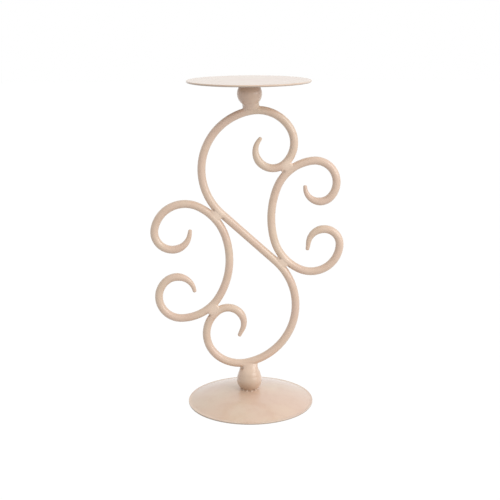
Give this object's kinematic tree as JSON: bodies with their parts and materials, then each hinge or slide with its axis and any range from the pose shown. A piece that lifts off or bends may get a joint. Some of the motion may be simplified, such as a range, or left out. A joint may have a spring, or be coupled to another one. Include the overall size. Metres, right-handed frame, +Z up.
{
  "type": "candle holder",
  "caption": "Table-top pillar-candle stand: tapered scrolls of round bar welded between balls, on a domed round foot, with a flat round plate on top.",
  "frame": {"origin": "centre of the base, on the plane that its rim stands on", "axes": "+Z up, +X to the viewer's right along the plane of the scrolls, +Y away from the viewer"},
  "size_m": [0.1914, 0.127, 0.326],
  "materials": {
    "cream_paint": "satin cream paint over steel, brushed on and worn slightly warm in the crevices"
  },
  "bodies": {
    "root": {"top_plate": "cream_paint", "upper_ball": "cream_paint", "main_scroll": "cream_paint", "left_scroll": "cream_paint", "right_scroll": "cream_paint", "lower_ball": "cream_paint", "base_dome": "cream_paint", "plate_weld_tacks": "cream_paint", "upper_neck_weld": "cream_paint", "left_upper_weld": "cream_paint", "left_lower_weld": "cream_paint", "right_upper_weld": "cream_paint", "right_lower_weld": "cream_paint", "lower_neck_weld": "cream_paint", "base_weld_tacks": "cream_paint"}
  },
  "joints": []
}
